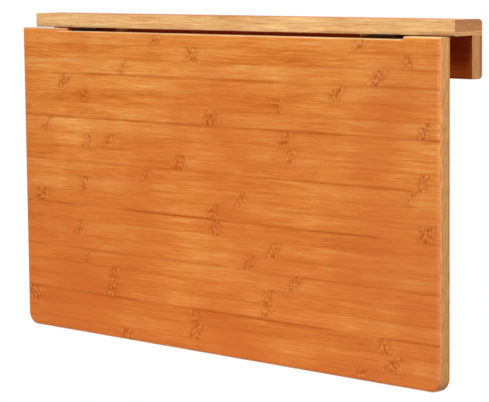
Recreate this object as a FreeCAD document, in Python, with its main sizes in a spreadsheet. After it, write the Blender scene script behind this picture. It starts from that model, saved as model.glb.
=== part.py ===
import FreeCAD, Part
import Sketcher
import math
import os

# A drop leaf table that hangs on a wall.  A narrow fixed shelf sits on a rail,
# two uprights run down the wall below it, and a wide leaf hangs in front on
# two hinges.  Two steel folding stays hold the leaf level when it is up.
#
# Frame: X to the right, Y into the wall, Z up.  The wall is the plane Y = 0 and
# Z = 0 is the line of the rail's screw holes.  The leaf is drawn hanging down.
# All sizes are millimetres.

doc = FreeCAD.newDocument("wall_table")
sizes = doc.addObject("Spreadsheet::Sheet", "sizes")

SIZES = {
    # Boards: everything wooden is laminated bamboo of one thickness.
    "board": 20,
    "table_width": 800,
    "shelf_depth": 54,
    "shelf_front_round": 1,
    "shelf_back_round": 6,
    "rail_height": 55,
    "rail_thick": 20,
    "rail_back_round": 6,
    "rail_front_round": 2,
    # Leaf: hangs from its hinge edge, whose middle is relieved for the knuckles.
    "leaf_length": 445,
    "leaf_front_round": 5.5,
    "leaf_back_round": 3,
    "leaf_corner_round": 18,
    "edge_gap": 0.5,
    "relief_depth": 4.1,
    "relief_round": 2.5,
    "left_ear": 82,
    "right_ear": 61,
    # Hinges: the pin lies ahead of the shelf's edge and below its underside.
    "pin_ahead": 4,
    "pin_drop": 4,
    "pin_radius": 1.5,
    "pin_gap": 0.05,
    "pin_stand_out": 0.4,
    "knuckle_radius": 3.7,
    "knuckle_gap": 0.3,
    "hinge_length": 50,
    "hinge_reach": 30,
    "hinge_plate": 1.5,
    "hinge_setback": 4.6,
    "hinge_neck_thick": 1,
    "hinge_neck_inset": 1.2,
    "hinge_neck_drop": 1.05,
    "hinge_ear_gap": 7,
    "hinge_hole_pitch": 30,
    "hinge_hole_back": 19,
    # Holes for the small round-headed screws of the hinges and brackets.
    "screw_hole_radius": 1.8,
    # Holes for the wall screws.
    "wall_hole_radius": 2.75,
    "wall_head_radius": 5.5,
    "wall_head_depth": 3,
    "rail_hole_spacing": 640,
    # Glued dowels between the shelf and the rail.
    "dowel_radius": 4,
    "dowel_length": 36,
    "dowel_in_shelf": 12,
    "dowel_end_inset": 20,
    "dowel_clearance": 0.05,
    # Uprights: fins against the wall that carry the stays and stop the leaf.
    "upright_hinge_gap": 16,
    "upright_thick": 20,
    "upright_setback": 6,
    "upright_top_setback": 24,
    "upright_rake": 60,
    "upright_drop": 182,
    "upright_round": 26,
    "foot_thick": 20,
    "foot_drop": 50,
    "foot_round": 6.5,
    "foot_hole_up": 16,
    # Square rubber bumpers on the uprights, just short of the hanging leaf.
    "bumper_side": 14,
    "bumper_gap": 0.3,
    "bumper_drop": 158,
    # Folding stays: two flat links that fold behind the leaf.
    "stay_pivot_inset": 20,
    "stay_pivot_drop": 135,
    "leaf_pivot_along": 190,
    "leaf_pivot_back": 8,
    "link_half_width": 8,
    "link_thick": 3,
    "link_gap": 0.3,
    "knee_slack": 0.5,
    "stay_pin_radius": 3,
    "stay_head_radius": 5,
    "stay_head_height": 1.5,
    # Angle brackets under the leaf that carry the upper ends of the stays.
    "bracket_thick": 2.5,
    "bracket_width": 26,
    "bracket_length": 52,
    "bracket_screw_inset": 9,
}

for row, (alias, number) in enumerate(SIZES.items(), 1):
    sizes.set(f"A{row}", alias)
    sizes.set(f"B{row}", str(number))
    sizes.setAlias(f"B{row}", alias)
doc.recompute()

# ---------------------------------------------------------------- expressions
# Places that several pieces share, written once from the cells of the sheet.
WIDTH = "sizes.table_width"
BOARD = "sizes.board"
UNDERSIDE = "(sizes.rail_height / 2)"
RAIL_FOOT = "(-sizes.rail_height / 2)"
RAIL_FRONT = "(-sizes.rail_thick)"
PIN_Y = "(-sizes.shelf_depth - sizes.pin_ahead)"
PIN_Z = f"({UNDERSIDE} - sizes.pin_drop)"
LEAF_BACK = f"({PIN_Y} - sizes.pin_drop)"
LEAF_TOP = f"({PIN_Z} + sizes.pin_ahead - sizes.edge_gap)"
UPRIGHT_FRONT = f"({LEAF_BACK} + sizes.upright_setback)"

# The hinges stand as far from the ends as the leaf's wider ear lets them, and the
# uprights stand inside the hinges.
HINGE_SPREAD = f"({WIDTH} / 2 - sizes.left_ear - sizes.hinge_ear_gap - sizes.hinge_length / 2)"
UPRIGHT_SPREAD = (f"({HINGE_SPREAD} - sizes.hinge_length / 2 - sizes.upright_hinge_gap"
                  f" - sizes.upright_thick / 2)")
DOWEL_SPREAD = f"({WIDTH} / 2 - sizes.dowel_end_inset)"

# The closed linkage of one stay, seen from its side.  The lower link hangs
# plumb from the upright when the leaf is down, and both links lie in one line,
# up to a little slack in the knee, when the leaf is up.
STAY_Y = f"({UPRIGHT_FRONT} + sizes.stay_pivot_inset)"
STAY_Z = f"({UNDERSIDE} - sizes.stay_pivot_drop)"
LUG_Y = f"({PIN_Y} + sizes.leaf_pivot_back)"
LUG_Z = f"({PIN_Z} - sizes.leaf_pivot_along)"
LIFTED_Y = f"({PIN_Y} - sizes.leaf_pivot_along)"
LIFTED_Z = f"({PIN_Z} - sizes.leaf_pivot_back)"
STRETCH = f"(sizes.knee_slack + hypot({LIFTED_Y} - {STAY_Y}; {LIFTED_Z} - {STAY_Z}))"
FOLDED = f"hypot({LUG_Y} - {STAY_Y}; {LUG_Z} - {STAY_Z})"
LOWER_LINK = (f"(({STRETCH} ^ 2 - {FOLDED} ^ 2)"
              f" / (2 * ({STRETCH} - ({STAY_Z} - {LUG_Z}))))")
UPPER_LINK = f"({STRETCH} - {LOWER_LINK})"
KNEE_Z = f"({STAY_Z} - {LOWER_LINK})"
UPPER_TILT = f"atan2({STAY_Y} - {LUG_Y}; {LUG_Z} - {KNEE_Z})"

# Planes of one stay, counted from the upright's inner face towards the middle.
INNER_FACE = f"({UPRIGHT_SPREAD} - sizes.upright_thick / 2)"
LOWER_OUTER = f"({INNER_FACE} - sizes.link_gap)"
LOWER_INNER = f"({LOWER_OUTER} - sizes.link_thick)"
UPPER_OUTER = f"({LOWER_INNER} - sizes.link_gap)"
UPPER_INNER = f"({UPPER_OUTER} - sizes.link_thick)"
LUG_OUTER = f"({UPPER_INNER} - sizes.link_gap)"
LUG_INNER = f"({LUG_OUTER} - sizes.bracket_thick)"

SIDES = {"left": -1, "right": 1}
RIGHTWARD = (1, 0, 0)
TO_WALL = (0, 1, 0)
TO_ROOM = (0, -1, 0)
UPWARD = (0, 0, 1)
DOWNWARD = (0, 0, -1)


def value(expression):
    """The number that an expression has now."""
    return float(sizes.evalExpression(expression))


def along(point, direction, distance):
    """A point moved by a distance, both as expressions."""
    return tuple(f"({start} + {step} * ({distance}))" if step else start
                 for start, step in zip(point, direction))


def side_x(side, distance):
    """The X of a distance from the middle, on the left or the right."""
    return f"({SIDES[side]} * ({distance}))"


# ------------------------------------------------------------------ primitives
def seat(piece, point, direction=UPWARD):
    """Put a primitive at a point, with its own Z axis along a direction."""
    turn = FreeCAD.Rotation(FreeCAD.Vector(*UPWARD), FreeCAD.Vector(*direction))
    piece.Placement = FreeCAD.Placement(FreeCAD.Vector(), turn)
    for axis, expression in zip("xyz", point):
        piece.setExpression(f"Placement.Base.{axis}", expression)
    return piece


def block(name, extent, corner):
    """A box from its lowest corner."""
    piece = doc.addObject("Part::Box", name)
    for side, expression in zip(("Length", "Width", "Height"), extent):
        piece.setExpression(side, expression)
    return seat(piece, corner)


def rod(name, radius, length, start, direction):
    """A cylinder from the middle of one end."""
    piece = doc.addObject("Part::Cylinder", name)
    piece.setExpression("Radius", radius)
    piece.setExpression("Height", length)
    return seat(piece, start, direction)


def taper(name, first_radius, last_radius, length, start, direction):
    """A cone from the middle of one end."""
    piece = doc.addObject("Part::Cone", name)
    piece.setExpression("Radius1", first_radius)
    piece.setExpression("Radius2", last_radius)
    piece.setExpression("Height", length)
    return seat(piece, start, direction)


def join(name, pieces):
    """One solid of several that meet."""
    union = doc.addObject("Part::MultiFuse", name)
    union.Shapes = pieces
    return union


def group(name, pieces):
    """Separate solids that share one node or one cut."""
    bundle = doc.addObject("Part::Compound", name)
    bundle.Links = pieces
    return bundle


def carve(name, base, tools):
    """A piece less all its holes and notches."""
    result = doc.addObject("Part::Cut", name)
    result.Base = base
    result.Tool = group(f"{name}_tools", tools)
    return result


# ------------------------------------------------------------ sketched bodies
def origin_plane(body, role):
    return next(f for f in body.Origin.OriginFeatures if f.Role == role)


def new_sketch(body, name, role):
    sketch = body.newObject("Sketcher::SketchObject", name)
    sketch.AttachmentSupport = [(origin_plane(body, role), "")]
    sketch.MapMode = "FlatFace"
    return sketch


def draw_polygon(sketch, corners):
    """A closed outline whose every corner is bound to two expressions."""
    points = [FreeCAD.Vector(value(a), value(b), 0) for a, b in corners]
    count = len(points)
    for i, point in enumerate(points):
        sketch.addGeometry(Part.LineSegment(point, points[(i + 1) % count]))
    for i in range(count):
        sketch.addConstraint(Sketcher.Constraint("Coincident", i, 2, (i + 1) % count, 1))
    for i, (across, up) in enumerate(corners):
        row = sketch.addConstraint(Sketcher.Constraint("DistanceX", -1, 1, i, 1, points[i].x))
        sketch.setExpression(f"Constraints[{row}]", across)
        row = sketch.addConstraint(Sketcher.Constraint("DistanceY", -1, 1, i, 1, points[i].y))
        sketch.setExpression(f"Constraints[{row}]", up)


def draw_link(sketch, half_width, length, hole):
    """A flat bar with round ends and an eye in each, hanging from the origin."""
    radius, reach, eye = value(half_width), value(length), value(hole)
    top = FreeCAD.Vector()
    foot = FreeCAD.Vector(0, -reach, 0)
    out = FreeCAD.Vector(0, 0, 1)
    upper_end = Part.ArcOfCircle(Part.Circle(top, out, radius), 0, math.pi)
    lower_end = Part.ArcOfCircle(Part.Circle(foot, out, radius), math.pi, 2 * math.pi)
    left = Part.LineSegment(FreeCAD.Vector(-radius, 0, 0), FreeCAD.Vector(-radius, -reach, 0))
    right = Part.LineSegment(FreeCAD.Vector(radius, -reach, 0), FreeCAD.Vector(radius, 0, 0))
    sketch.addGeometry([upper_end, left, lower_end, right])
    sketch.addGeometry([Part.Circle(top, out, eye), Part.Circle(foot, out, eye)])
    for first, first_end, second, second_end in ((0, 2, 1, 1), (1, 2, 2, 1), (2, 2, 3, 1), (3, 2, 0, 1)):
        sketch.addConstraint(Sketcher.Constraint("Tangent", first, first_end, second, second_end))
    sketch.addConstraint(Sketcher.Constraint("Coincident", 0, 3, -1, 1))
    sketch.addConstraint(Sketcher.Constraint("Coincident", 4, 3, 0, 3))
    sketch.addConstraint(Sketcher.Constraint("PointOnObject", 2, 3, -2))
    sketch.addConstraint(Sketcher.Constraint("Coincident", 5, 3, 2, 3))
    sketch.addConstraint(Sketcher.Constraint("Equal", 4, 5))
    row = sketch.addConstraint(Sketcher.Constraint("Radius", 0, radius))
    sketch.setExpression(f"Constraints[{row}]", half_width)
    row = sketch.addConstraint(Sketcher.Constraint("Radius", 4, eye))
    sketch.setExpression(f"Constraints[{row}]", hole)
    row = sketch.addConstraint(Sketcher.Constraint("DistanceY", 2, 3, 0, 3, reach))
    sketch.setExpression(f"Constraints[{row}]", length)


def pad(body, sketch, length):
    feature = body.newObject("PartDesign::Pad", f"{body.Name}_pad")
    feature.Profile = sketch
    feature.setExpression("Length", length)
    doc.recompute()
    return feature


def board_body(name, role, corners, length, point):
    """A board sawn to an outline: its body and its pad."""
    body = doc.addObject("PartDesign::Body", name)
    seat(body, point)
    sketch = new_sketch(body, f"{name}_outline", role)
    draw_polygon(sketch, corners)
    return body, pad(body, sketch, length)


def round_edges(body, feature, suffix, radius, wanted):
    """Round the edges whose middle and direction the test picks."""
    names = []
    for i, edge in enumerate(feature.Shape.Edges, 1):
        middle = edge.valueAt((edge.FirstParameter + edge.LastParameter) / 2)
        run = edge.tangentAt(edge.FirstParameter)
        if wanted(middle, run):
            names.append(f"Edge{i}")
    fillet = body.newObject("PartDesign::Fillet", f"{body.Name}_{suffix}")
    fillet.Base = (feature, names)
    fillet.setExpression("Radius", radius)
    doc.recompute()
    return fillet


def near(first, second):
    return abs(first - second) < 0.01


# Where each hinge stands along the table.
HINGES = {"left": f"(-{HINGE_SPREAD})", "right": HINGE_SPREAD}


def small_hole(name, start, plate, direction):
    """A drilled hole through a plate, from its screwed face."""
    return rod(f"{name}_hole", "sizes.screw_hole_radius", plate, start, direction)


# ---------------------------------------------------------------- shelf board
# A narrow board on top of the rail, with a large round along its back.
body, feature = board_body(
    "shelf_blank", "YZ_Plane",
    [("0", UNDERSIDE), ("-sizes.shelf_depth", UNDERSIDE),
     ("-sizes.shelf_depth", f"{UNDERSIDE} + {BOARD}"), ("0", f"{UNDERSIDE} + {BOARD}")],
    WIDTH, (f"-{WIDTH} / 2", "0", "0"))
shelf_front = -value("sizes.shelf_depth")
feature = round_edges(body, feature, "front", "sizes.shelf_front_round",
                      lambda middle, run: near(abs(run.x), 1) and near(middle.y, shelf_front))
shelf_top = value(f"{UNDERSIDE} + {BOARD}")
round_edges(body, feature, "back", "sizes.shelf_back_round",
            lambda middle, run: near(abs(run.x), 1) and near(middle.y, 0) and near(middle.z, shelf_top))

DOWEL_STEPS = {"left": -1, "centre": 0, "right": 1}
DOWEL_FOOT = f"({UNDERSIDE} + sizes.dowel_in_shelf - sizes.dowel_length)"


def dowel(name, step, gap):
    """One dowel, or with a gap the hole that takes it."""
    start = (f"({step} * {DOWEL_SPREAD})", "(-sizes.rail_thick / 2)", f"({DOWEL_FOOT} - {gap})")
    return rod(name, f"(sizes.dowel_radius + {gap})", f"(sizes.dowel_length + 2 * {gap})", start, UPWARD)


def dowel_holes(board):
    return [dowel(f"{board}_{place}_dowel_hole", step, "sizes.dowel_clearance")
            for place, step in DOWEL_STEPS.items()]


shelf_board = carve("shelf_board", body, dowel_holes("shelf"))

# ------------------------------------------------------------------ wall rail
# The rail under the shelf's back edge, screwed to the wall along its middle.
body, feature = board_body(
    "rail_blank", "YZ_Plane",
    [("0", RAIL_FOOT), (RAIL_FRONT, RAIL_FOOT), (RAIL_FRONT, UNDERSIDE), ("0", UNDERSIDE)],
    WIDTH, (f"-{WIDTH} / 2", "0", "0"))
rail_foot = value(RAIL_FOOT)
feature = round_edges(body, feature, "back", "sizes.rail_back_round",
                      lambda middle, run: (near(abs(run.x), 1) and near(middle.y, 0)
                                           and near(middle.z, rail_foot)))
rail_front = value(RAIL_FRONT)
round_edges(body, feature, "front", "sizes.rail_front_round",
            lambda middle, run: (near(abs(run.x), 1) and near(middle.y, rail_front)
                                 and near(middle.z, rail_foot)))


def wall_hole(name, x, front, thick, z):
    """A countersunk hole for a wall screw, right through from the room side."""
    start = (x, front, z)
    return [
        rod(f"{name}_bore", "sizes.wall_hole_radius", thick, start, TO_WALL),
        taper(f"{name}_sink", "sizes.wall_head_radius", "sizes.wall_hole_radius",
              "sizes.wall_head_depth", start, TO_WALL),
    ]


rail_tools = dowel_holes("rail")
for side in SIDES:
    x = side_x(side, "sizes.rail_hole_spacing / 2")
    rail_tools += wall_hole(f"{side}_wall_hole", x, RAIL_FRONT, "sizes.rail_thick", "0")
wall_rail = carve("wall_rail", body, rail_tools)

shelf_dowels = group("shelf_dowels", [dowel(f"{place}_dowel", step, "0")
                                      for place, step in DOWEL_STEPS.items()])

# ------------------------------------------------------------------- uprights
# Each fin is notched round the rail, rakes out from below the hinge line to its
# full depth where it carries the stay, and ends in a thin foot that takes one
# more wall screw.
RAKE_TOP = f"({UPRIGHT_FRONT} + sizes.upright_top_setback)"
RAKE_FOOT = f"({UNDERSIDE} - sizes.upright_rake)"
SHOULDER_Z = f"({UNDERSIDE} - sizes.upright_drop)"
FOOT_Z = f"({SHOULDER_Z} - sizes.foot_drop)"
BUMPER_Z = f"({UNDERSIDE} - sizes.bumper_drop)"
BUMPER_TIP = f"({LEAF_BACK} + sizes.bumper_gap)"
for side in SIDES:
    body, feature = board_body(
        f"{side}_upright_blank", "YZ_Plane",
        [("0", RAIL_FOOT), ("0", FOOT_Z), ("-sizes.foot_thick", FOOT_Z), ("-sizes.foot_thick", SHOULDER_Z),
         (UPRIGHT_FRONT, SHOULDER_Z), (UPRIGHT_FRONT, RAKE_FOOT), (RAKE_TOP, UNDERSIDE),
         (RAIL_FRONT, UNDERSIDE), (RAIL_FRONT, RAIL_FOOT)],
        "sizes.upright_thick",
        (f"({side_x(side, UPRIGHT_SPREAD)} - sizes.upright_thick / 2)", "0", "0"))
    upright_front = value(UPRIGHT_FRONT)
    shoulder = value(SHOULDER_Z)
    feature = round_edges(body, feature, "shoulder", "sizes.upright_round",
                          lambda middle, run: near(middle.y, upright_front) and near(middle.z, shoulder))
    foot_front = -value("sizes.foot_thick")
    foot_end = value(FOOT_Z)
    round_edges(body, feature, "foot", "sizes.foot_round",
                lambda middle, run: near(middle.y, foot_front) and near(middle.z, foot_end))
    centre_x = side_x(side, UPRIGHT_SPREAD)
    tools = wall_hole(f"{side}_foot_hole", centre_x, "(-sizes.foot_thick)", "sizes.foot_thick",
                      f"({FOOT_Z} + sizes.foot_hole_up)")
    carve(f"{side}_upright", body, tools)

    # The rubber bumper is glued to the front edge and stops the leaf.
    block(f"{side}_bumper", ("sizes.bumper_side", f"({UPRIGHT_FRONT} - {BUMPER_TIP})", "sizes.bumper_side"),
          (f"({centre_x} - sizes.bumper_side / 2)", BUMPER_TIP, f"({BUMPER_Z} - sizes.bumper_side / 2)"))

# ----------------------------------------------------------------- leaf board
# A wide board, its edges rounded all round and its hinge edge sawn back
# between two ears, so that the knuckles have room when the leaf is up.
HALF = f"({WIDTH} / 2)"
body, feature = board_body(
    "leaf_blank", "XZ_Plane",
    [(f"-{HALF}", LEAF_TOP), (f"-{HALF}", f"{LEAF_TOP} - sizes.leaf_length"),
     (HALF, f"{LEAF_TOP} - sizes.leaf_length"), (HALF, LEAF_TOP)],
    BOARD, ("0", LEAF_BACK, "0"))
leaf_foot = value(f"{LEAF_TOP} - sizes.leaf_length")
feature = round_edges(body, feature, "corners", "sizes.leaf_corner_round",
                      lambda middle, run: near(abs(run.y), 1) and near(middle.z, leaf_foot))
leaf_front = -value(BOARD)
feature = round_edges(body, feature, "front", "sizes.leaf_front_round",
                      lambda middle, run: near(middle.y, leaf_front) and near(run.y, 0))
feature = round_edges(body, feature, "back", "sizes.leaf_back_round",
                      lambda middle, run: near(middle.y, 0) and near(run.y, 0))
RELIEF_WIDTH = f"({WIDTH} - sizes.left_ear - sizes.right_ear)"
RELIEF_START = f"(sizes.left_ear - {HALF})"
RELIEF_Z = f"({LEAF_TOP} - sizes.relief_depth)"
LEAF_FRONT = f"({LEAF_BACK} - {BOARD})"
relief = block("leaf_relief", (RELIEF_WIDTH, f"(2 * {BOARD})", "(2 * sizes.relief_depth)"),
               (RELIEF_START, f"({LEAF_FRONT} - {BOARD} / 2)", RELIEF_Z))

# A router bit rounds the relieved edge's front arris.
bit_corner = block("relief_bit_square",
                   (RELIEF_WIDTH, "(2 * sizes.relief_round)", "(2 * sizes.relief_round)"),
                   (RELIEF_START, f"({LEAF_FRONT} - sizes.relief_round)",
                    f"({RELIEF_Z} - sizes.relief_round)"))
bit_core = rod("relief_bit_core", "sizes.relief_round", RELIEF_WIDTH,
               (RELIEF_START, f"({LEAF_FRONT} + sizes.relief_round)", f"({RELIEF_Z} - sizes.relief_round)"),
               RIGHTWARD)
leaf_board = carve("leaf_board", body, [relief, carve("relief_bit", bit_corner, [bit_core])])

# --------------------------------------------------------------------- hinges
# Butt hinges of pressed steel: a flat plate under the shelf and one on the
# leaf's back, each with its knuckles rolled round one loose pin.
KNUCKLES = 3
KNUCKLE = f"(sizes.hinge_length / {KNUCKLES})"
PLATE_WIDTH = "(sizes.hinge_reach - sizes.hinge_setback)"
NECK = "(sizes.hinge_setback - sizes.hinge_neck_inset + sizes.hinge_plate)"
NECK_TOP = "(sizes.pin_drop - sizes.hinge_neck_drop)"


def hinge_plate(name, middle, part):
    """One plate with its knuckles, for the shelf or for the leaf."""
    start = f"({middle} - sizes.hinge_length / 2)"
    if part == "shelf":
        own = range(0, KNUCKLES, 2)
        plate = block(f"{name}_flat", ("sizes.hinge_length", PLATE_WIDTH, "sizes.hinge_plate"),
                      (start, f"({PIN_Y} + sizes.hinge_setback)", f"({UNDERSIDE} - sizes.hinge_plate)"))
    else:
        own = range(1, KNUCKLES, 2)
        plate = block(f"{name}_flat", ("sizes.hinge_length", "sizes.hinge_plate", PLATE_WIDTH),
                      (start, LEAF_BACK, f"({PIN_Z} - sizes.hinge_reach)"))
    solids = [plate]
    for k in own:
        x = f"({start} + {k} * {KNUCKLE} + sizes.knuckle_gap / 2)"
        length = f"({KNUCKLE} - sizes.knuckle_gap)"
        solids.append(rod(f"{name}_knuckle_{k + 1}", "sizes.knuckle_radius", length,
                          (x, PIN_Y, PIN_Z), RIGHTWARD))
        if part == "shelf":
            neck = (length, NECK, "sizes.hinge_neck_thick")
            corner = (x, f"({PIN_Y} + sizes.hinge_neck_inset)",
                      f"({PIN_Z} + {NECK_TOP} - sizes.hinge_neck_thick)")
        else:
            neck = (length, "sizes.hinge_neck_thick", NECK)
            corner = (x, f"({PIN_Y} - {NECK_TOP})", f"({PIN_Z} - sizes.hinge_neck_inset - {NECK})")
        solids.append(block(f"{name}_neck_{k + 1}", neck, corner))
    tools = [rod(f"{name}_bore", "(sizes.pin_radius + sizes.pin_gap)", "(2 * sizes.hinge_length)",
                 (f"({start} - sizes.hinge_length / 2)", PIN_Y, PIN_Z), RIGHTWARD)]
    for end, sign in (("left", -1), ("right", 1)):
        x = f"({middle} + {sign} * sizes.hinge_hole_pitch / 2)"
        if part == "shelf":
            face = (x, f"({PIN_Y} + sizes.hinge_hole_back)", f"({UNDERSIDE} - sizes.hinge_plate)")
            direction = UPWARD
        else:
            face = (x, f"({LEAF_BACK} + sizes.hinge_plate)", f"({PIN_Z} - sizes.hinge_hole_back)")
            direction = TO_ROOM
        tools.append(small_hole(f"{name}_{end}", face, "sizes.hinge_plate", direction))
    return carve(name, join(f"{name}_blank", solids), tools)


for hinge, middle in HINGES.items():
    hinge_plate(f"{hinge}_hinge_shelf_plate", middle, "shelf")
    hinge_plate(f"{hinge}_hinge_leaf_plate", middle, "leaf")
    rod(f"{hinge}_hinge_pin", "sizes.pin_radius", "(sizes.hinge_length + 2 * sizes.pin_stand_out)",
        (f"({middle} - sizes.hinge_length / 2 - sizes.pin_stand_out)", PIN_Y, PIN_Z), RIGHTWARD)

# -------------------------------------------------------------- folding stays
# Flat links with an eye at each end.  The knee's pin stays in the lower link,
# and the upper link carries the pin's closed end on its other face.
EYE = "(sizes.stay_pin_radius + sizes.pin_gap)"


def link_body(name, length, x, y, z, tilt):
    """A flat link that hangs from its upper eye, tipped towards the wall."""
    body = doc.addObject("PartDesign::Body", name)
    seat(body, (x, y, z))
    sketch = new_sketch(body, f"{name}_outline", "YZ_Plane")
    draw_link(sketch, "sizes.link_half_width", length, EYE)
    pad(body, sketch, "sizes.link_thick")
    if tilt:
        body.Placement.Rotation = FreeCAD.Rotation(FreeCAD.Vector(*RIGHTWARD), value(tilt))
        body.setExpression("Placement.Rotation.Angle", tilt)
    return body


def inboard_start(side, near_middle, far_from_middle):
    """The lower X of a slab that lies between two distances from the middle."""
    return side_x(side, far_from_middle if SIDES[side] < 0 else near_middle)


pivot_screws = []
bracket_rivets = []
for side in SIDES:
    inward = (-SIDES[side], 0, 0)
    outward = (SIDES[side], 0, 0)

    lower = link_body(f"{side}_lower_link", LOWER_LINK, inboard_start(side, LOWER_INNER, LOWER_OUTER),
                      STAY_Y, STAY_Z, None)
    rod(f"{side}_knee_rivet", "sizes.stay_pin_radius", "(sizes.link_thick + sizes.stay_head_height)",
        (side_x(side, LOWER_INNER), STAY_Y, KNEE_Z), outward)

    bar = link_body(f"{side}_upper_bar", UPPER_LINK, inboard_start(side, UPPER_INNER, UPPER_OUTER),
                    LUG_Y, LUG_Z, UPPER_TILT)
    closed_end = rod(f"{side}_knee_closed_end", "sizes.stay_head_radius", "sizes.stay_head_height",
                     (side_x(side, UPPER_INNER), STAY_Y, KNEE_Z), inward)
    plug = rod(f"{side}_knee_plug", EYE, "sizes.link_thick",
               (side_x(side, UPPER_INNER), STAY_Y, KNEE_Z), outward)
    join(f"{side}_upper_link", [bar, closed_end, plug])

    # A shoulder screw hangs the lower link on the upright.
    pivot = (side_x(side, INNER_FACE), STAY_Y, STAY_Z)
    shoulder_length = f"({INNER_FACE} - {LOWER_INNER} + sizes.link_gap / 2)"
    head_start = along(pivot, inward, shoulder_length)
    pivot_screws.append(join(f"{side}_pivot_screw", [
        rod(f"{side}_pivot_shoulder", "sizes.stay_pin_radius", shoulder_length, pivot, inward),
        rod(f"{side}_pivot_head", "sizes.stay_head_radius", "sizes.stay_head_height", head_start, inward)]))

    # The angle bracket's foot lies on the leaf and its lug stands up from it.
    foot = block(f"{side}_bracket_foot",
                 ("sizes.bracket_width", "sizes.bracket_thick", "sizes.bracket_length"),
                 (inboard_start(side, f"({LUG_OUTER} - sizes.bracket_width)", LUG_OUTER), LEAF_BACK,
                  f"({LUG_Z} - sizes.bracket_length / 2)"))
    lug_x = inboard_start(side, LUG_INNER, LUG_OUTER)
    lug = block(f"{side}_bracket_lug",
                ("sizes.bracket_thick", f"({LUG_Y} - {LEAF_BACK})", "(2 * sizes.link_half_width)"),
                (lug_x, LEAF_BACK, f"({LUG_Z} - sizes.link_half_width)"))
    lug_end = rod(f"{side}_bracket_lug_end", "sizes.link_half_width", "sizes.bracket_thick",
                  (lug_x, LUG_Y, LUG_Z), RIGHTWARD)
    tools = [rod(f"{side}_bracket_eye", EYE, "sizes.bracket_thick", (lug_x, LUG_Y, LUG_Z), RIGHTWARD)]
    reach = "(sizes.bracket_length / 2 - sizes.bracket_screw_inset)"
    for row, sign in (("upper", 1), ("lower", -1)):
        face = (side_x(side, f"({LUG_OUTER} - sizes.bracket_width / 2)"),
                f"({LEAF_BACK} + sizes.bracket_thick)", f"({LUG_Z} + {sign} * {reach})")
        tools.append(small_hole(f"{side}_bracket_{row}", face, "sizes.bracket_thick", TO_ROOM))
    carve(f"{side}_leaf_bracket", join(f"{side}_bracket_blank", [foot, lug, lug_end]), tools)

    # A rivet, flush with the lug, carries the upper link.
    shank_start = (side_x(side, LUG_INNER), LUG_Y, LUG_Z)
    shank = f"({UPPER_OUTER} - {LUG_INNER} + sizes.link_gap / 2)"
    bracket_rivets.append(join(f"{side}_bracket_rivet", [
        rod(f"{side}_rivet_shank", "sizes.stay_pin_radius", shank, shank_start, outward),
        rod(f"{side}_rivet_outer_head", "sizes.stay_head_radius", "sizes.stay_head_height",
            along(shank_start, outward, shank), outward)]))

group("pivot_screws", pivot_screws)
group("bracket_rivets", bracket_rivets)

# --------------------------------------------------------------------- output
SIDED_NODES = ("upright", "bumper", "lower_link", "knee_rivet", "upper_link", "leaf_bracket")
HINGE_NODES = ("hinge_shelf_plate", "hinge_leaf_plate", "hinge_pin")
NODES = ["shelf_board", "wall_rail", "shelf_dowels", "leaf_board", "pivot_screws", "bracket_rivets"]
NODES += [f"{side}_{node}" for side in SIDES for node in SIDED_NODES]
NODES += [f"{hinge}_{node}" for hinge in HINGES for node in HINGE_NODES]

doc.recompute()
for item in doc.Objects:
    if "Invalid" in item.State or "Error" in item.State:
        raise RuntimeError(f"{item.Name} did not build: {item.State}")

pieces = []
for node in NODES:
    piece = doc.getObject(node)
    piece.Label = node
    if piece.Shape.isNull() or not piece.Shape.isValid():
        raise RuntimeError(f"{node} has no sound shape")
    pieces.append(piece)

os.makedirs("parts", exist_ok=True)
for piece in pieces:
    piece.Shape.exportStep(f"parts/{piece.Label}.step")
    box = piece.Shape.BoundBox
    print(f"{piece.Label:26s} {len(piece.Shape.Solids):2d} {piece.Shape.Volume:11.1f}"
          f"  x {box.XMin:8.2f} {box.XMax:8.2f}  y {box.YMin:8.2f} {box.YMax:8.2f}"
          f"  z {box.ZMin:8.2f} {box.ZMax:8.2f}")

print("stay links", value(LOWER_LINK), value(UPPER_LINK), "tilt", value(UPPER_TILT))
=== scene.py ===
import math

import bpy
from mathutils import Matrix, Vector


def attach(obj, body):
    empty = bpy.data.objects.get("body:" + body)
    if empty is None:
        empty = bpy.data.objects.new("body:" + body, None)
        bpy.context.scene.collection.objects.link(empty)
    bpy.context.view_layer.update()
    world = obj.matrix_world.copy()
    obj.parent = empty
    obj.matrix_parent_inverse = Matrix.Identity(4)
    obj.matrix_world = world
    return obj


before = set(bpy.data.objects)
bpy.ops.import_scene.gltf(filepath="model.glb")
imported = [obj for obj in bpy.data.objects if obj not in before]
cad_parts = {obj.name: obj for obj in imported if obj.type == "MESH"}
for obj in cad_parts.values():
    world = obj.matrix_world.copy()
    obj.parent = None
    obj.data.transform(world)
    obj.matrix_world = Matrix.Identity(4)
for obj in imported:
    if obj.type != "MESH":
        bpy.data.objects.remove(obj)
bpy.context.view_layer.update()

# ------------------------------------------------------------------ wall rail
# A bamboo board, 55 x 20 mm, screwed flat to the wall near its ends. It is sawn
# from three-ply laminated bamboo, routed round along its lower edges, sanded and
# finished with a satin lacquer, as every board of the table is.


def linear(code):
    """An sRGB hex colour as linear red, green, blue and alpha."""
    channels = [int(code[i:i + 2], 16) / 255 for i in (0, 2, 4)]
    return [c / 12.92 if c <= 0.04045 else ((c + 0.055) / 1.055) ** 2.4 for c in channels] + [1.0]


def add(tree, kind, links=(), **settings):
    """Add one node with its settings, then fill its inputs with values or links."""
    made = tree.nodes.new(kind)
    for key, setting in settings.items():
        setattr(made, key, setting)
    for key, given in dict(links).items():
        if isinstance(given, bpy.types.Node):
            given = given.outputs[0]
        if isinstance(given, bpy.types.NodeSocket):
            tree.links.new(given, made.inputs[key])
        else:
            made.inputs[key].default_value = given
    return made


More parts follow.
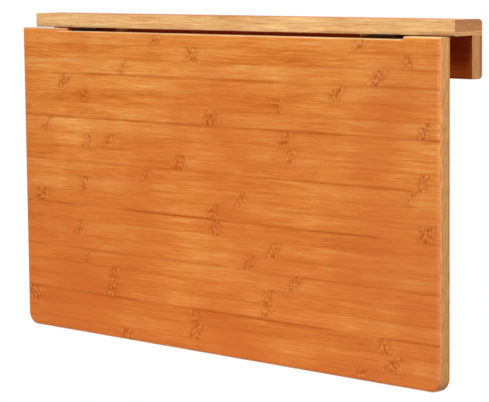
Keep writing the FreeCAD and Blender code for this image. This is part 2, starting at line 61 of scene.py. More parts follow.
def new_material(name):
    """An empty material, its tree and its output node."""
    made = bpy.data.materials.new(name)
    made.use_nodes = True
    made.node_tree.nodes.clear()
    return made, made.node_tree, add(made.node_tree, "ShaderNodeOutputMaterial")


def finish_nodes(material, *names):
    """Give CAD nodes their material."""
    for name in names:
        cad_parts[name].data.materials.clear()
        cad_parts[name].data.materials.append(material)


BOARD = 0.020            # thickness of every board
STRIP = 0.02135          # a lamella of the face plies, edge to edge
PLY = 0.0052             # an outer ply, on a 9.6 mm core
NODE_PITCH = 0.31        # from one joint of the bamboo cane to the next
JOINT_LEAN = 0.016       # how far a joint may lean over the width of a strip
STRIP_SHIFT = 0.617      # each strip comes from another stretch of cane
GRAIN_SWAY = 0.004       # the grain wanders 2 mm to each side
OFF_BOARD = 900          # a place along the board, in mm, that no board reaches

# The bamboo's patterns, in cells a metre along, across and through a board.
FIBRE_CELLS = (42, 640, 640)      # bundles of fibres, 24 mm long and 1.5 mm wide
BAND_CELLS = (16, 300, 300)       # bands of bundles, 60 mm long and 3 mm wide
CLOUD_CELLS = (6, 34, 34)         # slow clouds of tone, 170 mm long and 30 mm wide
SPECK_CELLS = (230, 170, 170)     # ticks in a joint, 4 mm long and 6 mm wide
STREAK_CELLS = (50, 520, 0)       # across and through: streaks in a ply's end, 20 by 2 mm
CHANCE_CELLS = (8, 3.7, 1)        # along and by strip: how wide and dark a joint is
GLUE_CELLS = (7, 4.6, 1)          # along and by glue line: how dark the glue is


def laminated_bamboo(name, axes, top, middle, seed, end_plies, joints=(), painted_shade=0.0):
    """Lacquered bamboo board. Its strips run along the first axis and lie side by side
    down the second from its top edge, and three plies are glued up through the third.
    The last argument darkens the faces towards red as painted shade, standing in for the shade the board sits
    in; it is not a colour of the bamboo.
    The satin lacquer is thin, so the face has a soft shine that follows the fibres."""
    board, tree, output = new_material(name)
    place = add(tree, "ShaderNodeTexCoord")
    at = add(tree, "ShaderNodeSeparateXYZ", {0: place.outputs["Object"]})
    facing = add(tree, "ShaderNodeSeparateXYZ", {0: place.outputs["Normal"]})
    along, across, through = (at.outputs[axis] for axis in axes)

    # Which strip a point is in, how far across it, and that strip's own luck.
    depth = add(tree, "ShaderNodeMath", {0: top, 1: across}, operation="SUBTRACT")
    row = add(tree, "ShaderNodeMath", {0: depth, 1: STRIP}, operation="DIVIDE")
    strip = add(tree, "ShaderNodeMath", {0: row}, operation="FLOOR")
    within = add(tree, "ShaderNodeMath", {0: row}, operation="FRACT")
    count = add(tree, "ShaderNodeMath", {0: strip, 1: seed}, operation="ADD")
    luck = add(tree, "ShaderNodeTexWhiteNoise", {"W": count}, noise_dimensions="1D")
    shift = add(tree, "ShaderNodeMath", {0: count, 1: STRIP_SHIFT, 2: along}, operation="MULTIPLY_ADD")

    # Bundles of fibres, bands of bundles, and slow clouds of tone. The grain wanders
    # sideways, as it does round the cane's joints.
    sway_space = add(tree, "ShaderNodeCombineXYZ", {0: shift, 1: count, 2: 0.0})
    sway = add(tree, "ShaderNodeTexNoise", {"Vector": sway_space, "Scale": 11.0, "Detail": 1.0})
    swayed = add(tree, "ShaderNodeMath", {0: sway, 1: GRAIN_SWAY, 2: across}, operation="MULTIPLY_ADD")
    grid = add(tree, "ShaderNodeCombineXYZ", {0: shift, 1: swayed, 2: through})
    fibre_space = add(tree, "ShaderNodeVectorMath", {0: grid, 1: FIBRE_CELLS}, operation="MULTIPLY")
    fibres = add(tree, "ShaderNodeTexNoise", {"Vector": fibre_space, "Scale": 1.0,
                                              "Detail": 4.0, "Roughness": 0.75})
    band_space = add(tree, "ShaderNodeVectorMath", {0: grid, 1: BAND_CELLS}, operation="MULTIPLY")
    bands = add(tree, "ShaderNodeTexNoise", {"Vector": band_space, "Scale": 1.0,
                                             "Detail": 2.0, "Roughness": 0.55})
    cloud_space = add(tree, "ShaderNodeVectorMath", {0: grid, 1: CLOUD_CELLS}, operation="MULTIPLY")
    clouds = add(tree, "ShaderNodeTexNoise", {"Vector": cloud_space, "Scale": 1.0, "Detail": 2.0})
    tone = add(tree, "ShaderNodeMath", {0: luck.outputs["Value"], 1: 0.17}, operation="MULTIPLY")
    tone = add(tree, "ShaderNodeMath", {0: clouds, 1: 0.7, 2: tone}, operation="MULTIPLY_ADD")
    tone = add(tree, "ShaderNodeMath", {0: bands, 1: 0.8, 2: tone}, operation="MULTIPLY_ADD")
    tone = add(tree, "ShaderNodeMath", {0: fibres, 1: 1.05, 2: tone}, operation="MULTIPLY_ADD")
    tone = add(tree, "ShaderNodeMath", {0: across, 1: 0.26, 2: tone}, operation="MULTIPLY_ADD")
    tone = add(tree, "ShaderNodeMapRange", {"Value": tone, "From Min": 0.90, "From Max": 1.77})

    # The cane's joints: where each strip crosses one, or one a pitch from a chance start.
    # Each leans a little, and is wider or narrower than the next. The ramp holds each
    # strip's places as a colour, in metres and half a metre more to stay above nought.
    lean = add(tree, "ShaderNodeMath", {0: within, 1: luck.outputs["Value"]}, operation="MULTIPLY")
    leaning = add(tree, "ShaderNodeMath", {0: lean, 1: JOINT_LEAN, 2: along}, operation="MULTIPLY_ADD")
    if joints:
        share = add(tree, "ShaderNodeMath", {0: strip, 1: 0.5}, operation="ADD")
        share = add(tree, "ShaderNodeMath", {0: share, 1: len(joints)}, operation="DIVIDE")
        table = add(tree, "ShaderNodeValToRGB", {0: share})
        table.color_ramp.interpolation = "CONSTANT"
        stops = table.color_ramp.elements
        for index, places in enumerate(joints):
            stop = stops.new(index / len(joints)) if index else stops[0]
            three = (list(places) + [OFF_BOARD] * 3)[:3]
            stop.color = [x / 1000 + 0.5 for x in three] + [1.0]
        spots = add(tree, "ShaderNodeSeparateColor", {0: table})
        gaps = []
        for channel in range(3):
            spot = add(tree, "ShaderNodeMath", {0: spots.outputs[channel], 1: 0.5}, operation="SUBTRACT")
            gap = add(tree, "ShaderNodeMath", {0: leaning, 1: spot}, operation="SUBTRACT")
            gaps.append(add(tree, "ShaderNodeMath", {0: gap}, operation="ABSOLUTE"))
        away = add(tree, "ShaderNodeMath", {0: gaps[0], 1: gaps[1]}, operation="MINIMUM")
        away = add(tree, "ShaderNodeMath", {0: away, 1: gaps[2]}, operation="MINIMUM")
    else:
        start = add(tree, "ShaderNodeMath", {0: luck.outputs["Value"], 1: 7.0}, operation="MULTIPLY")
        turns = add(tree, "ShaderNodeMath", {0: leaning, 1: 1 / NODE_PITCH, 2: start},
                    operation="MULTIPLY_ADD")
        turns = add(tree, "ShaderNodeMath", {0: turns}, operation="FRACT")
        turns = add(tree, "ShaderNodeMath", {0: turns, 1: 0.5}, operation="SUBTRACT")
        turns = add(tree, "ShaderNodeMath", {0: turns}, operation="ABSOLUTE")
        away = add(tree, "ShaderNodeMath", {0: turns, 1: NODE_PITCH}, operation="MULTIPLY")
    speck_space = add(tree, "ShaderNodeVectorMath", {0: grid, 1: SPECK_CELLS}, operation="MULTIPLY")
    specks = add(tree, "ShaderNodeTexNoise", {"Vector": speck_space, "Scale": 1.0, "Detail": 2.0})
    chance_space = add(tree, "ShaderNodeCombineXYZ", {0: along, 1: count, 2: seed})
    chance_space = add(tree, "ShaderNodeVectorMath", {0: chance_space, 1: CHANCE_CELLS}, operation="MULTIPLY")
    chance = add(tree, "ShaderNodeTexNoise", {"Vector": chance_space, "Scale": 1.0, "Detail": 1.0})
    ragged = add(tree, "ShaderNodeMath", {0: specks, 1: 0.018, 2: away}, operation="MULTIPLY_ADD")
    ragged = add(tree, "ShaderNodeMath", {0: chance, 1: -0.014, 2: ragged}, operation="MULTIPLY_ADD")
    joint = add(tree, "ShaderNodeMapRange", {"Value": ragged, "From Min": 0.0215, "From Max": 0.005},
                interpolation_type="SMOOTHSTEP")
    dots = add(tree, "ShaderNodeMapRange", {"Value": specks, "From Min": 0.50, "From Max": 0.60})
    dots = add(tree, "ShaderNodeMath", {0: dots, 1: 0.72, 2: 0.24}, operation="MULTIPLY_ADD")
    uneven = add(tree, "ShaderNodeMapRange", {"Value": chance, "From Min": 0.38, "From Max": 0.58,
                                              "To Min": 0.7})
    joint = add(tree, "ShaderNodeMath", {0: joint, 1: uneven}, operation="MULTIPLY")
    scar = add(tree, "ShaderNodeMath", {0: joint, 1: dots}, operation="MULTIPLY")
    flecks = add(tree, "ShaderNodeMapRange", {"Value": specks, "From Min": 0.46, "From Max": 0.34,
                                              "To Max": 0.45})
    flecks = add(tree, "ShaderNodeMath", {0: joint, 1: flecks}, operation="MULTIPLY")

    # Glue lines between strips, which stain up to 3.4 mm on each side. Every third one
    # was pressed apart and shows darker, and every sixth, where two blocks meet, has a
    # thin dark line of glue in it.
    nearest = add(tree, "ShaderNodeMath", {0: row}, operation="ROUND")
    off = add(tree, "ShaderNodeMath", {0: row, 1: nearest}, operation="SUBTRACT")
    off = add(tree, "ShaderNodeMath", {0: off}, operation="ABSOLUTE")
    off = add(tree, "ShaderNodeMath", {0: off, 1: STRIP}, operation="MULTIPLY")
    third = add(tree, "ShaderNodeMath", {0: nearest, 1: 3.0}, operation="MODULO")
    third = add(tree, "ShaderNodeMath", {0: third, 1: 0.5}, operation="LESS_THAN")
    sixth = add(tree, "ShaderNodeMath", {0: nearest, 1: 6.0}, operation="MODULO")
    sixth = add(tree, "ShaderNodeMath", {0: sixth, 1: 0.5}, operation="LESS_THAN")
    glue_space = add(tree, "ShaderNodeCombineXYZ", {0: along, 1: nearest, 2: seed})
    glue_space = add(tree, "ShaderNodeVectorMath", {0: glue_space, 1: GLUE_CELLS}, operation="MULTIPLY")
    glue = add(tree, "ShaderNodeTexNoise", {"Vector": glue_space, "Scale": 1.0, "Detail": 2.0})
    patchy = add(tree, "ShaderNodeMapRange", {"Value": glue, "From Min": 0.36, "From Max": 0.64,
                                              "To Min": 0.1})
    strength = add(tree, "ShaderNodeMath", {0: third, 1: 0.45, 2: 0.35}, operation="MULTIPLY_ADD")
    strength = add(tree, "ShaderNodeMath", {0: strength, 1: patchy}, operation="MULTIPLY")
    seam = add(tree, "ShaderNodeMapRange", {"Value": off, "From Min": 0.0034, "From Max": 0.0002},
               interpolation_type="SMOOTHSTEP")
    seam = add(tree, "ShaderNodeMath", {0: seam, 1: strength}, operation="MULTIPLY")
    line = add(tree, "ShaderNodeMapRange", {"Value": off, "From Min": 0.0017, "From Max": 0.0003,
                                            "To Max": 0.64})
    line = add(tree, "ShaderNodeMath", {0: line, 1: sixth}, operation="MULTIPLY")
    line = add(tree, "ShaderNodeMath", {0: line, 1: patchy}, operation="MULTIPLY")

    # Face colour, from the dark bundles to the pale pith between them, with a slow drift
    # to red down the board, then glue, joints and painted shade over it. Inputs 6 and 7 of a
    # mix are its two colours, and output 2 is the mixed one.
    face = add(tree, "ShaderNodeValToRGB", {0: tone})
    ramp = face.color_ramp
    ramp.elements[0].color = linear("BE5E14")
    ramp.elements[1].color = linear("EBA85E")
    ramp.elements.new(0.5).color = linear("DE8536")
    drift_space = add(tree, "ShaderNodeCombineXYZ", {0: along, 1: across, 2: seed})
    drift = add(tree, "ShaderNodeTexNoise", {"Vector": drift_space, "Scale": 4.5,
                                             "Detail": 3.0, "Roughness": 0.6})
    drift = add(tree, "ShaderNodeMath", {0: across, 1: -0.68, 2: drift}, operation="MULTIPLY_ADD")
    drift = add(tree, "ShaderNodeMath", {0: along, 1: -0.12, 2: drift}, operation="MULTIPLY_ADD")
    drift = add(tree, "ShaderNodeMapRange", {"Value": drift, "From Min": 0.48, "From Max": 0.80,
                                             "To Max": 0.8})
    face = add(tree, "ShaderNodeMix", {"Factor": drift, 6: face, 7: linear("CA6526")}, data_type="RGBA")
    # The last of these tints, A83A08, is painted shade: a board's faces darkened towards red where it stands
    # in shade.
    for amount, tint in ((seam, "B9580C"), (line, "A64A00"), (flecks, "F4AE62"), (scar, "B04E04"),
                         (painted_shade, "A83A08")):
        face = add(tree, "ShaderNodeMix", {"Factor": amount, 6: face.outputs[2], 7: linear(tint)},
                   data_type="RGBA")

    # Long edges show the strips from their side: paler, with finer lines.
    side = add(tree, "ShaderNodeValToRGB", {0: tone})
    ramp = side.color_ramp
    ramp.elements[0].color = linear("C67A3A")
    ramp.elements[1].color = linear("FBDA9C")
    faint = add(tree, "ShaderNodeMath", {0: scar, 1: 0.35}, operation="MULTIPLY")
    side = add(tree, "ShaderNodeMix", {"Factor": faint, 6: side, 7: linear("B87C44")}, data_type="RGBA")

    # Ends show the plies, and the bundles as dots 1.4 mm apart.
    lift = add(tree, "ShaderNodeMath", {0: through, 1: middle}, operation="SUBTRACT")
    ply = add(tree, "ShaderNodeMapRange", {"Value": lift, "From Min": -BOARD / 2, "From Max": BOARD / 2})
    ends = add(tree, "ShaderNodeValToRGB", {0: ply})
    ramp = ends.color_ramp
    ramp.interpolation = "CONSTANT"
    ramp.elements[0].color = linear(end_plies[0])
    ramp.elements[1].position = 1 - PLY / BOARD
    ramp.elements[1].color = linear(end_plies[2])
    core = ramp.elements.new(PLY / BOARD)
    core.color = linear(end_plies[1])
    dot_space = add(tree, "ShaderNodeCombineXYZ", {0: across, 1: through, 2: 0.0})
    bundles = add(tree, "ShaderNodeTexVoronoi", {"Vector": dot_space, "Scale": 700.0})
    dotted = add(tree, "ShaderNodeMapRange", {"Value": bundles, "From Min": 0.45, "From Max": 0.1,
                                              "To Max": 0.4})
    ends = add(tree, "ShaderNodeMix", {"Factor": dotted, 6: ends, 7: linear("8A5430")}, data_type="RGBA")
    streak_space = add(tree, "ShaderNodeVectorMath", {0: dot_space, 1: STREAK_CELLS}, operation="MULTIPLY")
    streaks = add(tree, "ShaderNodeTexNoise", {"Vector": streak_space, "Scale": 1.0, "Detail": 2.0})
    dim = add(tree, "ShaderNodeMapRange", {"Value": streaks, "From Min": 0.42, "From Max": 0.64,
                                           "To Max": 0.6})
    ends = add(tree, "ShaderNodeMix", {"Factor": dim, 6: ends.outputs[2], 7: linear("A8653C")},
               data_type="RGBA")

    # Choose by the way the surface faces. The fibres stand a tenth of a millimetre proud.
    lengthwise = add(tree, "ShaderNodeMath", {0: facing.outputs[axes[0]]}, operation="ABSOLUTE")
    sideways = add(tree, "ShaderNodeMath", {0: facing.outputs[axes[1]]}, operation="ABSOLUTE")
    is_side = add(tree, "ShaderNodeMapRange", {"Value": sideways, "From Min": 0.5, "From Max": 0.88},
                  interpolation_type="SMOOTHSTEP")
    is_end = add(tree, "ShaderNodeMapRange", {"Value": lengthwise, "From Min": 0.5, "From Max": 0.85},
                 interpolation_type="SMOOTHSTEP")
    colour = add(tree, "ShaderNodeMix", {"Factor": is_side, 6: face.outputs[2], 7: side.outputs[2]},
                 data_type="RGBA")
    colour = add(tree, "ShaderNodeMix", {"Factor": is_end, 6: colour.outputs[2], 7: ends.outputs[2]},
                 data_type="RGBA")
    gloss = add(tree, "ShaderNodeMapRange", {"Value": fibres, "From Min": 0.3, "From Max": 0.7,
                                             "To Min": 0.40, "To Max": 0.54})
    relief = add(tree, "ShaderNodeMath", {0: seam, 1: -0.3, 2: fibres}, operation="MULTIPLY_ADD")
    bump = add(tree, "ShaderNodeBump", {"Height": relief, "Strength": 0.25, "Distance": 0.0001})
    shader = add(tree, "ShaderNodeBsdfPrincipled",
                 {"Base Color": colour.outputs[2], "Roughness": gloss, "Normal": bump, "IOR": 1.5,
                  "Specular IOR Level": 0.12, "Coat Weight": 0.05, "Coat Roughness": 0.3})
    tree.links.new(shader.outputs[0], output.inputs["Surface"])
    return board


# The rail's faces are painted darker and redder: painted shade for the shade between the shelf, the leaf and
# the rail.
finish_nodes(laminated_bamboo("bamboo_laminated_rail_painted_shade", "XZY", top=0.0275, middle=-0.010, seed=40,
                              end_plies=("BE8256", "C28C54", "A06A44"), painted_shade=0.6), "wall_rail")

# --------------------------------------------------------------------- dowels
# Three glued beech dowels, 8 mm thick, hold the shelf on the rail. They are cut
# from turned rod, pale and matt with rays along it, and the glued joint hides them.
beech, tree, output = new_material("beech_turned_dowel")
place = add(tree, "ShaderNodeTexCoord")
BEECH_CELLS = (900, 900, 40)      # rays 1 mm wide and 25 mm long
stretched = add(tree, "ShaderNodeVectorMath", {0: place.outputs["Object"], 1: BEECH_CELLS},
                operation="MULTIPLY")
rays = add(tree, "ShaderNodeTexNoise", {"Vector": stretched, "Scale": 1.0, "Detail": 2.0})
colour = add(tree, "ShaderNodeValToRGB", {0: rays})
colour.color_ramp.elements[0].color = linear("C79A6C")
colour.color_ramp.elements[1].color = linear("E6C79C")
shader = add(tree, "ShaderNodeBsdfPrincipled", {"Base Color": colour, "Roughness": 0.65})
tree.links.new(shader.outputs[0], output.inputs["Surface"])
finish_nodes(beech, "shelf_dowels")

# ---------------------------------------------------------------- shelf board
# The fixed board, 54 mm deep, glued and dowelled on top of the rail. Its front
# edge is eased and its back edge has a 6 mm round.
finish_nodes(laminated_bamboo("bamboo_laminated_shelf", "XYZ", top=0.0, middle=0.0375, seed=70,
                              end_plies=("DAA270", "B98054", "B07850")), "shelf_board")

# ------------------------------------------------------------------- uprights
# Two fins, cut from the same board with the strips running up and down, glued to
# the rail's front face and lower edge and screwed to the wall through the foot.
for side, middle, seed in (("left", -0.235, 11), ("right", 0.235, 23)):
    finish_nodes(laminated_bamboo(f"bamboo_laminated_upright_{side}", "ZYX", top=0.0, middle=middle,
                                  seed=seed, end_plies=("C99468", "C79C62", "B98A58")),
                 f"{side}_upright")

# -------------------------------------------------------------------- bumpers
# Square rubber pads glued to the uprights' front edges, which the hanging leaf
# nearly touches. Moulded rubber: black and matt, with a faint bloom in 4 mm spots.
rubber, tree, output = new_material("rubber_moulded")
place = add(tree, "ShaderNodeTexCoord")
bloom = add(tree, "ShaderNodeTexNoise", {"Vector": place.outputs["Object"], "Scale": 260.0, "Detail": 3.0})
colour = add(tree, "ShaderNodeValToRGB", {0: bloom})
colour.color_ramp.elements[0].color = linear("171615")
colour.color_ramp.elements[1].color = linear("2C2B29")
shader = add(tree, "ShaderNodeBsdfPrincipled", {"Base Color": colour, "Roughness": 0.75})
tree.links.new(shader.outputs[0], output.inputs["Surface"])
finish_nodes(rubber, "left_bumper", "right_bumper")

# --------------------------------------------------------------------- hinges
# Two 50 mm butt hinges of pressed steel with loose pins, one plate under the
# shelf and one on the leaf's back. Bronzing leaves them nearly black with a brown
# cast in 6 mm clouds and hardly any shine.
bronzed, tree, output = new_material("steel_bronzed")
place = add(tree, "ShaderNodeTexCoord")
patina = add(tree, "ShaderNodeTexNoise", {"Vector": place.outputs["Object"], "Scale": 180.0, "Detail": 4.0})
colour = add(tree, "ShaderNodeValToRGB", {0: patina})
colour.color_ramp.elements[0].color = linear("1A0804")
colour.color_ramp.elements[1].color = linear("2E1208")
rough = add(tree, "ShaderNodeMapRange", {"Value": patina, "To Min": 0.5, "To Max": 0.66})
shader = add(tree, "ShaderNodeBsdfPrincipled", {"Base Color": colour, "Roughness": rough,
                                                 "Specular IOR Level": 0.03})
tree.links.new(shader.outputs[0], output.inputs["Surface"])
for hinge in ("left", "right"):
    finish_nodes(bronzed, f"{hinge}_hinge_shelf_plate", f"{hinge}_hinge_leaf_plate", f"{hinge}_hinge_pin")

# -------------------------------------------------------------- hinge screws
# Pan-head screws, 12 mm long with a cross recess, cold-headed and bronzed like the
# plates. Four hold the shelf plates from below and four the leaf plates.
screw_tree = bpy.data.node_groups.new("pan_head_screws", "GeometryNodeTree")
for label, kind in (("Seats", "Geometry"), ("Facing", "Vector"), ("Head Radius", "Float"),
                    ("Head Height", "Float"), ("Shank Radius", "Float"), ("Length", "Float"),
                    ("Recess Width", "Float"), ("Recess Span", "Float"), ("Finish", "Material"),
                    ("Seed", "Int")):
    screw_tree.interface.new_socket(label, in_out="INPUT", socket_type=f"NodeSocket{kind}")
screw_tree.interface.new_socket("Screws", in_out="OUTPUT", socket_type="NodeSocketGeometry")
size = add(screw_tree, "NodeGroupInput").outputs

# The head: a disc turned down towards its rim, with a cross pressed into the top.
disc = add(screw_tree, "GeometryNodeMeshCylinder", {"Vertices": 32, "Fill Segments": 5,
                                                    "Radius": size["Head Radius"],
                                                    "Depth": size["Head Height"]})
half = add(screw_tree, "ShaderNodeMath", {0: size["Head Height"], 1: 0.5}, operation="MULTIPLY")
spot = add(screw_tree, "GeometryNodeInputPosition")
part = add(screw_tree, "ShaderNodeSeparateXYZ", {0: spot})
rim = add(screw_tree, "ShaderNodeCombineXYZ", {0: part.outputs[0], 1: part.outputs[1]})
rim = add(screw_tree, "ShaderNodeVectorMath", {0: rim}, operation="LENGTH")
rim = add(screw_tree, "ShaderNodeMath", {0: rim.outputs["Value"], 1: size["Head Radius"]}, operation="DIVIDE")
rim = add(screw_tree, "ShaderNodeMath", {0: rim, 1: 3.0}, operation="POWER")
drop = add(screw_tree, "ShaderNodeMath", {0: rim, 1: size["Head Height"]}, operation="MULTIPLY")
drop = add(screw_tree, "ShaderNodeMath", {0: drop, 1: -0.5}, operation="MULTIPLY")
drop = add(screw_tree, "ShaderNodeCombineXYZ", {2: drop})
on_top = add(screw_tree, "FunctionNodeCompare", {"A": part.outputs[2], "B": 0.0}, operation="GREATER_THAN")
domed = add(screw_tree, "GeometryNodeSetPosition", {"Geometry": disc, "Selection": on_top, "Offset": drop})
seat = add(screw_tree, "ShaderNodeCombineXYZ", {2: half})
head = add(screw_tree, "GeometryNodeTransform", {"Geometry": domed, "Translation": seat})
bar_size = add(screw_tree, "ShaderNodeCombineXYZ", {0: size["Recess Span"], 1: size["Recess Width"],
                                                    2: size["Head Height"]})
bar = add(screw_tree, "GeometryNodeMeshCube", {"Size": bar_size})
lifted = add(screw_tree, "ShaderNodeCombineXYZ", {2: size["Head Height"]})
first = add(screw_tree, "GeometryNodeTransform", {"Geometry": bar, "Translation": lifted})
second = add(screw_tree, "GeometryNodeTransform", {"Geometry": first, "Rotation": (0, 0, math.pi / 2)})
head = add(screw_tree, "GeometryNodeMeshBoolean", {"Mesh 1": head, "Mesh 2": first}, operation="DIFFERENCE")
head = add(screw_tree, "GeometryNodeMeshBoolean", {"Mesh 1": head, "Mesh 2": second}, operation="DIFFERENCE")

# The shank under it, with a point a third of its length.
shank_length = add(screw_tree, "ShaderNodeMath", {0: size["Length"], 1: 2 / 3}, operation="MULTIPLY")
point_length = add(screw_tree, "ShaderNodeMath", {0: size["Length"], 1: 1 / 3}, operation="MULTIPLY")
shank = add(screw_tree, "GeometryNodeMeshCone", {"Vertices": 16, "Radius Top": size["Shank Radius"],
                                                 "Radius Bottom": size["Shank Radius"],
                                                 "Depth": shank_length})
low = add(screw_tree, "ShaderNodeMath", {0: shank_length, 1: -1.0}, operation="MULTIPLY")
shank = add(screw_tree, "GeometryNodeTransform", {"Geometry": shank, "Translation":
                                                  add(screw_tree, "ShaderNodeCombineXYZ", {2: low})})
point = add(screw_tree, "GeometryNodeMeshCone", {"Vertices": 16, "Radius Top": size["Shank Radius"],
                                                 "Radius Bottom": 0.1, "Depth": point_length})
low = add(screw_tree, "ShaderNodeMath", {0: size["Length"], 1: -1.0}, operation="MULTIPLY")
point = add(screw_tree, "GeometryNodeTransform", {"Geometry": point, "Translation":
                                                  add(screw_tree, "ShaderNodeCombineXYZ", {2: low})})
whole = add(screw_tree, "GeometryNodeJoinGeometry")
for piece in (point, shank, head):
    screw_tree.links.new(piece.outputs[0], whole.inputs[0])
creased = add(screw_tree, "GeometryNodeInputMeshEdgeAngle")
CREASE = 0.6              # an edge sharper than this stays sharp, in radians
creased = add(screw_tree, "FunctionNodeCompare", {"A": creased, "B": CREASE}, operation="GREATER_THAN")
whole = add(screw_tree, "GeometryNodeSetShadeSmooth", {"Geometry": whole})
whole = add(screw_tree, "GeometryNodeSetShadeSmooth", {"Geometry": whole, "Selection": creased,
                                                       "Shade Smooth": False}, domain="EDGE")

# One at each seat, in millimetres scaled to metres, each turned as it was driven.
MILLIMETRE = 0.001
turn = add(screw_tree, "FunctionNodeRandomValue", {"Min": 0.0, "Max": math.pi / 2, "Seed": size["Seed"]})
turn = add(screw_tree, "FunctionNodeAxisAngleToRotation", {"Axis": (0, 0, 1), "Angle": turn.outputs["Value"]})
aim = add(screw_tree, "FunctionNodeAlignRotationToVector", {"Vector": size["Facing"]}, axis="Z")
aim = add(screw_tree, "FunctionNodeRotateRotation", {"Rotation": aim, "Rotate By": turn},
          rotation_space="LOCAL")
driven = add(screw_tree, "GeometryNodeInstanceOnPoints", {"Points": size["Seats"], "Instance": whole,
                                                          "Rotation": aim, "Scale": [MILLIMETRE] * 3})
driven = add(screw_tree, "GeometryNodeRealizeInstances", {"Geometry": driven})
driven = add(screw_tree, "GeometryNodeSetMaterial", {"Geometry": driven, "Material": size["Finish"]})
add(screw_tree, "NodeGroupOutput", {"Screws": driven})


def drive_screws(name, body, slot, finish, seats, facing, seed, **sizes):
    """Screws of one kind, at their seats on one body, as a plain mesh."""
    points = bpy.data.meshes.new(name)
    points.from_pydata(seats, [], [])
    screws = bpy.data.objects.new(name, points)
    bpy.context.scene.collection.objects.link(screws)
    modifier = screws.modifiers.new(name, "NODES")
    modifier.node_group = screw_tree
    given = {"Facing": facing, "Finish": finish, "Seed": seed, **sizes}
    for socket in screw_tree.interface.items_tree:
        if socket.name in given:
            modifier[socket.identifier] = given[socket.name]
    made = bpy.data.meshes.new_from_object(screws.evaluated_get(bpy.context.evaluated_depsgraph_get()))
    screws.modifiers.clear()
    screws.data = made
    made.name = name
    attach(screws, body)


# Sizes of a screw in millimetres, and of its seats in metres.
HINGE_SCREW = {"Head Radius": 3.3, "Head Height": 1.7, "Shank Radius": 1.4, "Length": 12.0,
               "Recess Width": 0.8, "Recess Span": 3.6}
HINGE_AT = 0.286          # from the table's middle to a hinge's
HOLE_AT = 0.015           # from there to its screws, on each side
HINGE_COLUMNS = [side * HINGE_AT + step for side in (-1, 1) for step in (-HOLE_AT, HOLE_AT)]
SHELF_PLATE = (-0.039, 0.0260)    # y and z of its holes' mouths, on its lower face
LEAF_PLATE = (-0.0605, 0.0045)    # y and z of its holes' mouths, on its back face
drive_screws("shelf_hinge_screws", "wall_frame", "bronzed_steel", bronzed,
             [(x, *SHELF_PLATE) for x in HINGE_COLUMNS], (0, 0, -1), 3, **HINGE_SCREW)
drive_screws("leaf_hinge_screws", "leaf", "bronzed_steel", bronzed,
             [(x, *LEAF_PLATE) for x in HINGE_COLUMNS], (0, 1, 0), 5, **HINGE_SCREW)

# ----------------------------------------------------------------- leaf board
# The wide leaf, 800 x 445 mm, glued up from 21 strips a face. Its edges are
# routed round, its lower corners more so, and its hinge edge is sawn back.
LEAF_JOINTS = (  # where each strip, from the top, crosses joints of the cane, in mm
    (-105, 275), (-38, 350), (-172, 305), (-300, 235), (-263, 120), (-390, 0, 380), (-340, 145),
    (-253, -210, 152), (-60, 378), (-130, 357), (-262, 60), (-362, 3, 380), (5,), (-270, 122),
    (70,), (-253, 160), (-203, 105), (-203, 105), (-383, -35, 308), (-30, 330), (-180, 270))
finish_nodes(laminated_bamboo("bamboo_laminated_leaf", "XZY", top=0.0270, middle=-0.072, seed=0,
                              end_plies=("D89A64", "DA9E5E", "C68A50"), joints=LEAF_JOINTS), "leaf_board")

# -------------------------------------------------------------- folding stays
# Two flat links on each side, stamped from steel strip, joined by a rivet and zinc
# plated. They come nearly into one line when the leaf is up. The plating is a bright
# grey with 11 mm spangles over the strip's fine drawing lines.
zinc, tree, output = new_material("steel_zinc_plated")
place = add(tree, "ShaderNodeTexCoord")
DRAWN_CELLS = (600, 600, 60)      # drawing lines 1.7 mm wide and 17 mm long
drawn = add(tree, "ShaderNodeVectorMath", {0: place.outputs["Object"], 1: DRAWN_CELLS},
            operation="MULTIPLY")
lines = add(tree, "ShaderNodeTexNoise", {"Vector": drawn, "Scale": 1.0, "Detail": 3.0})
spangle = add(tree, "ShaderNodeTexNoise", {"Vector": place.outputs["Object"], "Scale": 90.0,
                                           "Detail": 2.0})
blend = add(tree, "ShaderNodeMath", {0: lines, 1: 0.5, 2: spangle}, operation="MULTIPLY_ADD")
colour = add(tree, "ShaderNodeValToRGB", {0: blend})
colour.color_ramp.elements[0].color = linear("8C9094")
colour.color_ramp.elements[1].color = linear("BFC3C6")
rough = add(tree, "ShaderNodeMapRange", {"Value": lines, "To Min": 0.26, "To Max": 0.42})
shader = add(tree, "ShaderNodeBsdfPrincipled", {"Base Color": colour, "Metallic": 1.0,
                                                "Roughness": rough})
tree.links.new(shader.outputs[0], output.inputs["Surface"])
finish_nodes(zinc, "pivot_screws", "bracket_rivets")
for side in ("left", "right"):
    finish_nodes(zinc, f"{side}_lower_link", f"{side}_knee_rivet", f"{side}_upper_link",
                 f"{side}_leaf_bracket")

# ------------------------------------------------------------ bracket screws
# Two pan-head screws through each bracket into the leaf's back, zinc plated.
BRACKET_SCREW = {"Head Radius": 3.5, "Head Height": 1.9, "Shank Radius": 1.5, "Length": 14.0,
                 "Recess Width": 0.9, "Recess Span": 3.8}
BRACKET_AT = 0.2051       # from the table's middle to a bracket's screws
BRACKET_FACE = -0.0595    # the brackets' back faces
BRACKET_ROWS = (-0.1495, -0.1835)
drive_screws("bracket_screws", "leaf", "zinc_steel", zinc,
             [(side * BRACKET_AT, BRACKET_FACE, z) for side in (-1, 1) for z in BRACKET_ROWS],
             (0, 1, 0), 8, **BRACKET_SCREW)

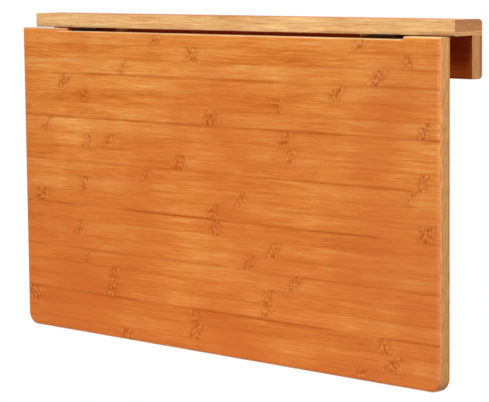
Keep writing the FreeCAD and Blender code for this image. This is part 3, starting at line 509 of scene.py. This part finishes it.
# ---------------------------------------------------------------------- stage
# A pale painted floor a desk's height below the shelf, which fades out towards its
# rim, plain soft daylight, and white beyond for the camera and for reflections.
FLOOR_PLACE = (0, -0.65, -0.70)
bpy.ops.mesh.primitive_circle_add(vertices=96, radius=1.0, fill_type="NGON", location=FLOOR_PLACE)
floor = bpy.context.object
floor.name = "floor"
paint, tree, output = new_material("matt_paint_floor")
place = add(tree, "ShaderNodeTexCoord")
away = add(tree, "ShaderNodeVectorMath", {0: place.outputs["Object"]}, operation="LENGTH")
away = add(tree, "ShaderNodeMapRange", {"Value": away.outputs["Value"], "From Min": 0.45, "From Max": 0.98},
           interpolation_type="SMOOTHSTEP")
under = add(tree, "ShaderNodeNewGeometry")
away = add(tree, "ShaderNodeMath", {0: away, 1: under.outputs["Backfacing"]}, operation="MAXIMUM")
matt = add(tree, "ShaderNodeBsdfDiffuse", {"Color": linear("F1F0EE")})
clear = add(tree, "ShaderNodeBsdfTransparent")
shader = add(tree, "ShaderNodeMixShader", {0: away, 1: matt, 2: clear})
tree.links.new(shader.outputs[0], output.inputs["Surface"])
floor.data.materials.append(paint)

world = bpy.data.worlds.new("studio")
bpy.context.scene.world = world
world.use_nodes = True
tree = world.node_tree
tree.nodes.clear()
path = add(tree, "ShaderNodeLightPath")
seen = add(tree, "ShaderNodeMath", {0: path.outputs["Is Camera Ray"], 1: path.outputs["Is Glossy Ray"]},
           operation="MAXIMUM")
seen = add(tree, "ShaderNodeMath", {0: seen, 1: path.outputs["Is Transmission Ray"]}, operation="MAXIMUM")
room = add(tree, "ShaderNodeMix", {"Factor": seen, 6: linear("2E2E2E"), 7: (1, 1, 1, 1)}, data_type="RGBA")
sky = add(tree, "ShaderNodeBackground", {"Color": room.outputs[2], "Strength": 1.0})
add(tree, "ShaderNodeOutputWorld", {"Surface": sky})

AIM = Vector((0, 0, -0.15))       # where the lamps look
LAMPS = (  # name, place, width and power
    ("front_lamp", (-0.2, -3.0, -0.5), 1.0, 47),
    ("top_lamp", (0.5, -1.85, 2.75), 1.4, 68),
    ("end_lamp", (2.6, -0.02, 1.3), 0.4, 67),
    ("back_lamp", (-1.3, 2.5, -0.7), 1.2, 45))
for name, spot, width, power in LAMPS:
    lamp = bpy.data.lights.new(name, "AREA")
    lamp.size = width
    lamp.energy = power
    lamp_object = bpy.data.objects.new(name, lamp)
    bpy.context.scene.collection.objects.link(lamp_object)
    lamp_object.location = spot
    lamp_object.rotation_euler = (AIM - Vector(spot)).to_track_quat("-Z", "Y").to_euler()

bpy.context.scene.view_settings.view_transform = "Standard"

# --------------------------------------------------------------------- camera
# A long lens just above the shelf's height, well to the right.
CAMERA_PLACE = (2.0464, -2.0980, 0.1251)
TURN, DIP, ROLL = 44.570, 6.537, -0.592       # degrees
camera_data = bpy.data.cameras.new("camera")
camera_data.lens = 155.6
camera_data.clip_start = 0.1
camera_data.clip_end = 50
camera = bpy.data.objects.new("camera", camera_data)
bpy.context.scene.collection.objects.link(camera)
camera.matrix_world = (Matrix.Translation(CAMERA_PLACE)
                       @ Matrix.Rotation(math.radians(TURN), 4, "Z")
                       @ Matrix.Rotation(math.radians(90 - DIP), 4, "X")
                       @ Matrix.Rotation(math.radians(ROLL), 4, "Z"))
bpy.context.scene.camera = camera
